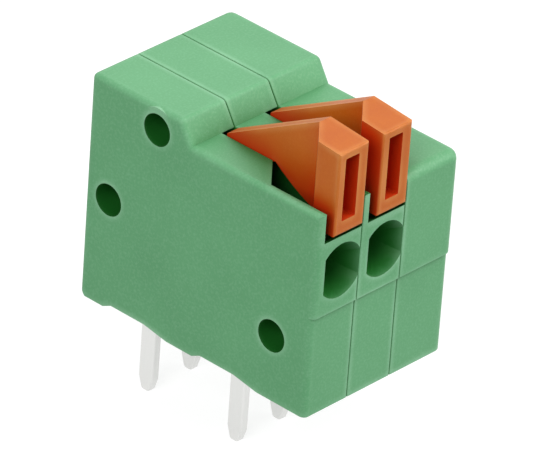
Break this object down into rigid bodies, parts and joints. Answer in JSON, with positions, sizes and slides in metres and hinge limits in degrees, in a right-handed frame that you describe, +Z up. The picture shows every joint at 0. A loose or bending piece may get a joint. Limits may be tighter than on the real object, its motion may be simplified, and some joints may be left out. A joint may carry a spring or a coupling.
{
  "type": "pcb terminal block",
  "caption": "Spring-clamp terminal block for a circuit board, with front wire entries, orange release buttons, solder pins below, and joining sockets in its side.",
  "frame": {"origin": "centre of the grid of solder pins, on the plane of the board's top surface", "axes": "+Z up from the board, -Y out of the front with the wire entries, +X towards the end cover"},
  "size_m": [0.0083, 0.0129, 0.016],
  "materials": {
    "housing_green": "moulded polyamide, satin",
    "button_orange": "moulded polyamide, satin",
    "tinned_contact": "tin-plated copper strip, satin",
    "spring_steel": "rolled stainless spring strip"
  },
  "bodies": {
    "block": {"terminal_housing_1": "housing_green", "terminal_housing_2": "housing_green", "end_cover": "housing_green", "contact_bar_1": "tinned_contact", "contact_bar_2": "tinned_contact", "clamp_spring_1": "spring_steel", "clamp_spring_2": "spring_steel"},
    "button_1": {"release_button_1": "button_orange"},
    "button_2": {"release_button_2": "button_orange"}
  },
  "joints": [
    {"name": "button_1_push", "type": "slide", "parent": "block", "child": "button_1", "axis": [0, 0.8746, -0.4848], "range_m": [0, 0.0019], "stiffness_N_per_m": 1000, "springref_m": -0.001},
    {"name": "button_2_push", "type": "slide", "parent": "block", "child": "button_2", "axis": [0, 0.8746, -0.4848], "range_m": [0, 0.0019], "stiffness_N_per_m": 1000, "springref_m": -0.001}
  ]
}
